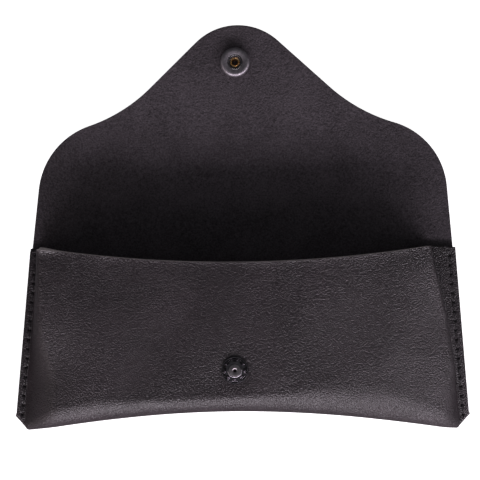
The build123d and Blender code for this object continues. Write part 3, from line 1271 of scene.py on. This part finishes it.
@dataclass
class SeamThread:
    """A thread of one side seam: twisted stitches that dip into every needle hole."""

    datum: Datum
    finishes: Finishes
    seam: SeamLine
    side: int
    face: Face
    node: str
    radius: float = 0.24
    depth: float = 1.15
    groove: float = 0.17
    twist: float = 2.6
    squareness: float = 0.36
    front_z: float = 2.64
    back_z: float = 0.30
    around: int = 12
    along: int = 28

    def stitch(self, pitch: float) -> Piece:
        """Models one stitch along +x, an arch of three plies whose ends stand in two holes.

        Args:
            pitch: the distance between the two holes, in millimetres.

        Returns:
            The stitch, closed, with the middle of its arch at the origin.
        """
        turn = np.linspace(math.pi, 0.0, self.along + 1)
        reach, power = pitch / 2 - 0.12, self.squareness
        x = reach * np.sign(np.cos(turn)) * np.abs(np.cos(turn)) ** power
        z = self.depth * (np.abs(np.sin(turn)) ** power - 1.0)
        heading = np.stack([np.gradient(x), np.gradient(z)], axis=1)
        heading /= np.linalg.norm(heading, axis=1)[:, None]
        run = np.concatenate([[0.0], np.cumsum(np.hypot(np.diff(x), np.diff(z)))])
        angle = np.linspace(0.0, 2 * math.pi, self.around + 1)
        lobes = np.cos(3 * angle[None] + self.twist * run[:, None])
        thick = self.radius * (1.0 - self.groove * (0.5 - 0.5 * lobes))
        sideways, up = thick * np.cos(angle), thick * np.sin(angle)
        along, level = x[:, None] - up * heading[:, 1:], z[:, None] + up * heading[:, :1]
        points = np.stack([along, sideways, level], axis=-1)
        piece = Shop.grid("stitch", points * MM)
        Shop.only(piece)
        bpy.ops.object.mode_set(mode="EDIT")
        bpy.ops.mesh.select_all(action="SELECT")
        bpy.ops.mesh.remove_doubles(threshold=1e-7)
        bpy.ops.mesh.fill_holes(sides=0)
        bpy.ops.mesh.normals_make_consistent(inside=False)
        bpy.ops.object.mode_set(mode="OBJECT")
        return piece

    def build(self) -> Piece:
        """Lays copies of the stitch from hole to hole and joins them.

        Returns:
            The finished piece.
        """
        holes = self.seam.centres(self.side)
        model = self.stitch(float(np.linalg.norm(holes[1] - holes[0])))
        shape = points_of(model) / MM
        level = self.front_z if self.face is Face.FRONT else self.back_z
        pieces = []
        for number, (start, end) in enumerate(zip(holes, holes[1:])):
            copy = Shop.copy(model)
            along = (end - start) / np.linalg.norm(end - start)
            sway = math.radians(1.6) * math.sin(2.3 * number + self.side)
            along = np.array([along[0] - sway * along[1], along[1] + sway * along[0]])
            flip = -self.face.value
            across = np.array([-along[1], along[0]]) * flip
            middle = (start + end) / 2
            spot = np.empty_like(shape)
            spot[:, :2] = middle + shape[:, :1] * along + shape[:, 1:2] * across
            spot[:, 2] = level + shape[:, 2] * flip + 0.03 * math.sin(1.7 * number)
            set_points(copy, self.datum.to_row(spot))
            pieces.append(copy)
        bpy.data.objects.remove(model)
        piece = Shop.join(self.node.replace("seam_", ""), pieces)
        piece.data.materials.clear()
        piece.data.materials.append(self.finishes.thread)
        Shop.soften(piece, 80.0)
        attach(piece, "pouch")
        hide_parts(self.node)
        return piece


# ---------------------------------------------------------------- snap fastener

POLE = 0.0004  # the radius, in millimetres, of a turned end that closes to a point


@dataclass
class Snap:
    """The ring-spring snap: stud and rivet on the front, socket, spring, cap and post on the flap.

    Profiles are (radius, height) in millimetres, and each starts from the face that it sits on.
    """

    datum: Datum
    finishes: Finishes
    sides: int = 72
    petals: int = 8
    petal_size: tuple[float, float, float] = (1.15, 2.35, 0.46)
    petal_height: float = 0.45
    petal_radius: float = 3.76
    petal_tilt: float = 34.0
    lobes: int = 5
    split_bearing: float = -14.0
    split_half: float = 15.0

    def front_place(self, points: np.ndarray) -> np.ndarray:
        """Puts points round the stud's axis into the row's frame."""
        y, z = self.datum.stud
        return self.datum.to_row(points + np.array([self.datum.snap_x, y, z]))

    def flap_place(self, points: np.ndarray) -> np.ndarray:
        """Puts points round the socket's axis, above the flap's outer face, into the row's frame."""
        spot = points + np.array([self.datum.snap_x, self.datum.socket_y, 0.0])
        return self.datum.to_row(self.datum.lean(spot, np.ones(len(spot))))

    def finish(self, piece: Piece, place: Callable[[np.ndarray], np.ndarray],
               material: Material, body: str, node: str) -> Piece:
        """Places and dresses one piece, attaches it to its body and hides the node that it stands for.

        Args:
            piece: the piece, modelled round the origin.
            place: moves its points from millimetres into the row's frame.
            material: its finish.
            body: the body it rides on.
            node: the node that it stands for.

        Returns:
            The finished piece.
        """
        set_points(piece, place(points_of(piece) / MM))
        piece.data.materials.clear()
        piece.data.materials.append(material)
        Shop.soften(piece, 38.0)
        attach(piece, body)
        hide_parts(node)
        return piece

    def petal(self) -> Piece:
        """Models one pressed-up tongue of the stud's collar, on the +x side.

        Returns:
            The tongue.
        """
        middle = (self.petal_radius * MM, 0.0, self.petal_height * MM)
        Shop.clear()
        bpy.ops.mesh.primitive_cube_add(size=MM, location=middle)
        piece = Shop.named("petal")
        bpy.ops.object.mode_set(mode="EDIT")
        bpy.ops.mesh.select_all(action="SELECT")
        bpy.ops.transform.resize(value=self.petal_size, center_override=middle)
        tilt = math.radians(self.petal_tilt)
        bpy.ops.transform.rotate(value=tilt, orient_axis="Y", center_override=middle)
        bpy.ops.object.mode_set(mode="OBJECT")
        Shop.settle(piece)
        points = points_of(piece)
        inner = points[:, 0] < self.petal_radius * MM
        points[inner, 1] *= 0.62
        set_points(piece, points)
        Shop.bevel(piece, 0.13, 3)
        return piece

    def stud(self) -> Piece:
        """The male half: a rimmed collar with eight petals round a waisted knob.

        Returns:
            The finished piece.
        """
        profile = [
            (1.62, 0.0), (5.10, 0.0), (5.17, 0.35), (5.12, 0.66), (4.98, 0.84), (4.80, 0.88), (4.62, 0.80),
            (4.48, 0.55), (4.40, 0.20), (2.80, 0.20), (2.46, 0.36), (2.30, 0.72), (2.26, 1.30), (2.30, 1.86),
            (2.46, 2.04), (2.64, 2.18), (2.75, 2.32), (2.74, 2.46), (2.64, 2.60), (2.46, 2.70), (2.28, 2.74),
            (1.62, 2.10),
        ]
        collar = Shop.lathe("collar", profile, self.sides)
        first = self.petal()
        pieces = [collar, first]
        for number in range(1, self.petals):
            copy = Shop.copy(first)
            Shop.only(copy)
            turn = 2 * math.pi * number / self.petals
            bpy.ops.transform.rotate(value=turn, orient_axis="Z", center_override=(0.0, 0.0, 0.0))
            Shop.settle(copy)
            pieces.append(copy)
        piece = Shop.join("stud_collar", pieces)
        return self.finish(piece, self.front_place, self.finishes.black_metal, "pouch", "snap_stud")

    def stud_rivet(self) -> Piece:
        """The rivet that holds the stud: a flange inside the pocket and a dished end in the knob.

        Returns:
            The finished piece.
        """
        profile = [
            (0.70, -1.92), (4.30, -1.80), (4.70, -1.62), (4.78, -1.40), (4.60, -1.24), (1.60, -1.24),
            (1.60, 2.10), (2.24, 2.70), (2.22, 2.77), (2.06, 2.82), (1.80, 2.87), (1.54, 2.90), (1.30, 2.89),
            (1.05, 2.85), (0.84, 2.79), (0.72, 2.66),
        ]
        piece = Shop.lathe("stud_rivet", profile, self.sides)
        return self.finish(piece, self.front_place, self.finishes.worn_metal, "pouch", "stud_post")

    def socket(self) -> Piece:
        """The female half: a round-rimmed ring with a groove for its spring.

        Returns:
            The finished piece.
        """
        base = LEATHER - 0.15
        profile = [
            (1.62, 0.0), (5.10, 0.0), (5.50, 0.30), (5.70, 0.75), (5.76, 1.25), (5.70, 1.80), (5.50, 2.28),
            (5.16, 2.66), (4.74, 2.86), (4.34, 2.92), (4.00, 2.88), (3.70, 2.82), (3.40, 2.76), (3.16, 2.71),
            (2.98, 2.64), (2.92, 2.52), (3.36, 2.50), (3.36, 2.06), (2.96, 2.02), (2.90, 1.90), (2.90, 0.46),
            (1.62, 0.46),
        ]
        piece = Shop.lathe("socket_ring", [(radius, base + z) for radius, z in profile], self.sides)
        return self.finish(piece, self.flap_place, self.finishes.satin_metal, "flap_front", "snap_socket")

    def post(self) -> Piece:
        """The brass post: its end is rolled out in uneven lobes, with one split.

        Returns:
            The finished piece.
        """
        top = LEATHER + 0.30
        profile = [
            (POLE, -0.52), (5.05, -0.52), (5.05, -0.06), (1.58, 0.0), (1.58, top), (1.66, top + 0.16),
            (1.88, top + 0.30), (1.98, top + 0.46), (1.92, top + 0.62), (1.74, top + 0.72),
            (1.52, top + 0.70), (1.40, top + 0.58), (1.20, top + 0.24), (1.08, top - 0.36),
            (0.75, top - 0.68), (POLE, top - 0.74),
        ]
        piece = Shop.lathe("cap_rivet", profile, self.sides, closed=False)
        points = points_of(piece) / MM
        bearing = np.arctan2(points[:, 1], points[:, 0])
        rolled = ramp(points[:, 2], top, top + 0.45)
        wave = np.cos(self.lobes * bearing + 0.9)
        points[:, :2] *= (1.0 + 0.045 * wave * rolled)[:, None]
        points[:, 2] += 0.09 * wave * rolled
        away = (np.degrees(bearing) - self.split_bearing + 180.0) % 360.0 - 180.0
        split = np.exp(-(away / self.split_half) ** 4)
        points[:, 2] -= 0.75 * split * rolled
        set_points(piece, points * MM)
        return self.finish(piece, self.flap_place, self.finishes.brass, "flap_front", "cap_post")

    def cap(self) -> Piece:
        """The domed cap on the outside of the flap, its rim curled in.

        Returns:
            The finished piece.
        """
        profile = [
            (POLE, -2.30), (1.40, -2.27), (2.80, -2.14), (4.00, -1.90), (5.00, -1.52), (5.75, -1.02),
            (6.12, -0.66), (6.25, -0.40), (6.18, -0.16), (5.98, 0.0), (5.66, 0.06), (5.36, 0.0),
            (5.30, -0.18), (5.60, -0.42), (5.50, -0.95), (4.40, -1.35), (2.40, -1.78), (POLE, -1.90),
        ]
        piece = Shop.lathe("cap_dome", profile, self.sides, closed=False)
        return self.finish(piece, self.flap_place, self.finishes.satin_metal, "flap_front", "snap_cap")

    def build(self) -> list[Piece]:
        """Models every piece and dresses the spring, whose own shape stays.

        Returns:
            The five modelled pieces.
        """
        spring = frame["nodes"]["socket_spring"]
        spring.data.materials.clear()
        spring.data.materials.append(self.finishes.spring)
        return [self.stud(), self.stud_rivet(), self.socket(), self.post(), self.cap()]


# ---------------------------------------------------------------- studio


@dataclass(frozen=True)
class SoftBox:
    """A rectangular soft box that looks at the pouch.

    Attributes:
        name: its name.
        bearing: degrees to the right of the bottom fold's side.
        height: degrees above the table.
        size: width and height, in metres.
        glow: radiance of its face.
        colour: its tint.
        distance: how far it hangs from the pouch, in metres.
    """

    name: str
    bearing: float
    height: float
    size: tuple[float, float]
    glow: float
    colour: Colour = (1.0, 0.92, 1.0)
    distance: float = 1.0

    def hang(self) -> None:
        """Hangs the box and turns it to the pouch."""
        data = bpy.data.lights.new(self.name, "AREA")
        data.shape = "RECTANGLE"
        data.size, data.size_y = self.size
        data.energy = self.glow * math.pi * self.size[0] * self.size[1]
        data.color = self.colour
        lamp = bpy.data.objects.new(self.name, data)
        bpy.context.scene.collection.objects.link(lamp)
        bearing, height = math.radians(self.bearing), math.radians(self.height)
        flat, rise = self.distance * math.cos(height), self.distance * math.sin(height)
        lamp.location = (flat * math.sin(bearing), -flat * math.cos(bearing), rise)
        lamp.rotation_euler = (-lamp.location).to_track_quat("-Z", "Y").to_euler()


@dataclass
class Studio:
    """A pale table, soft boxes and a camera straight above, its place measured from the crease."""

    datum: Datum
    table_half: float = 1.5
    distance: float = 0.560
    focal: float = 107.7
    camera_x: float = -0.00105
    camera_y: float = 0.00348
    room: float = 0.14
    boxes: tuple[SoftBox, ...] = (
        SoftBox("key", 6.0, 23.5, (1.7, 0.20), 16.5),
        SoftBox("upper", 10.0, 38.0, (1.6, 0.30), 1.0),
        SoftBox("right", 62.0, 12.0, (0.8, 0.16), 8.0),
        SoftBox("left", -56.0, 13.0, (0.7, 0.17), 5.0, (1.0, 0.87, 0.86)),
    )

    def plane(self, name: str, drop: float, tone: float, glow: float) -> Piece:
        """Lays one layer of the table.

        Args:
            name: the layer's name.
            drop: its depth below the pouch, in metres.
            tone: how much light it sends back.
            glow: how much light it gives of its own.

        Returns:
            The layer, marked as part of the stage.
        """
        Shop.clear()
        bpy.ops.mesh.primitive_plane_add(size=2 * self.table_half, location=(0.0, 0.0, -drop))
        layer = Shop.named(name)
        n = Nodes(name)
        n.finish(base_color=(tone, tone, tone, 1.0), roughness=0.9, emission_color=(1.0, 1.0, 1.0, 1.0))
        layer.data.materials.append(n.finish(emission_strength=glow))
        Shop.settle(layer)
        return layer

    def table(self) -> None:
        """A glowing white top that the camera sees, over a dimmer one that lights the pouch."""
        top = self.plane("table_top", 0.0004, 0.8, 1.0)
        top.visible_diffuse = False
        top.visible_glossy = False
        top.visible_shadow = False
        under = self.plane("table_under", 0.0006, 0.16, 0.0)
        under.visible_camera = False

    def world(self) -> None:
        """The dim light of the room."""
        room = bpy.data.worlds.new("room")
        room.use_nodes = True
        background = room.node_tree.nodes["Background"]
        background.inputs["Color"].default_value = (0.95, 0.96, 1.0, 1.0)
        background.inputs["Strength"].default_value = self.room
        bpy.context.scene.world = room

    def camera(self) -> None:
        """Puts the camera above the pouch."""
        data = bpy.data.cameras.new("camera")
        data.lens = self.focal
        data.sensor_width = 36.0
        data.clip_start, data.clip_end = 0.05, 10.0
        camera = bpy.data.objects.new("camera", data)
        bpy.context.scene.collection.objects.link(camera)
        camera.location = (self.camera_x, self.datum.crease_y + self.camera_y, self.distance)
        bpy.context.scene.camera = camera

    def build(self) -> None:
        """Sets the whole studio."""
        self.table()
        for box in self.boxes:
            box.hang()
        self.world()
        self.camera()
        bpy.context.scene.view_settings.view_transform = "Standard"


def report(piece: Piece) -> None:
    """Logs a finished piece."""
    log.info("%s: %d faces", piece.name, len(piece.data.polygons))


def main() -> None:
    """Builds every piece in order and reports it."""
    logging.basicConfig(level=logging.INFO, format="%(name)s: %(message)s")
    datum = Datum.from_frame()
    finishes = Finishes()
    seam = SeamLine()
    outline = FlapOutline()
    split_y = (datum.back_fold[0] + datum.front_fold_y) / 2
    report(PouchBody(datum, finishes, seam, outline, split_y).build())
    report(Flap(datum, finishes, outline, split_y).build())
    for side, hand in ((-1, "left"), (1, "right")):
        for face, kind in ((Face.FRONT, "needle"), (Face.BACK, "bobbin")):
            report(SeamThread(datum, finishes, seam, side, face, f"seam_{kind}_thread_{hand}").build())
    for piece in Snap(datum, finishes).build():
        report(piece)
    Studio(datum).build()


if __name__ == "__main__":
    main()
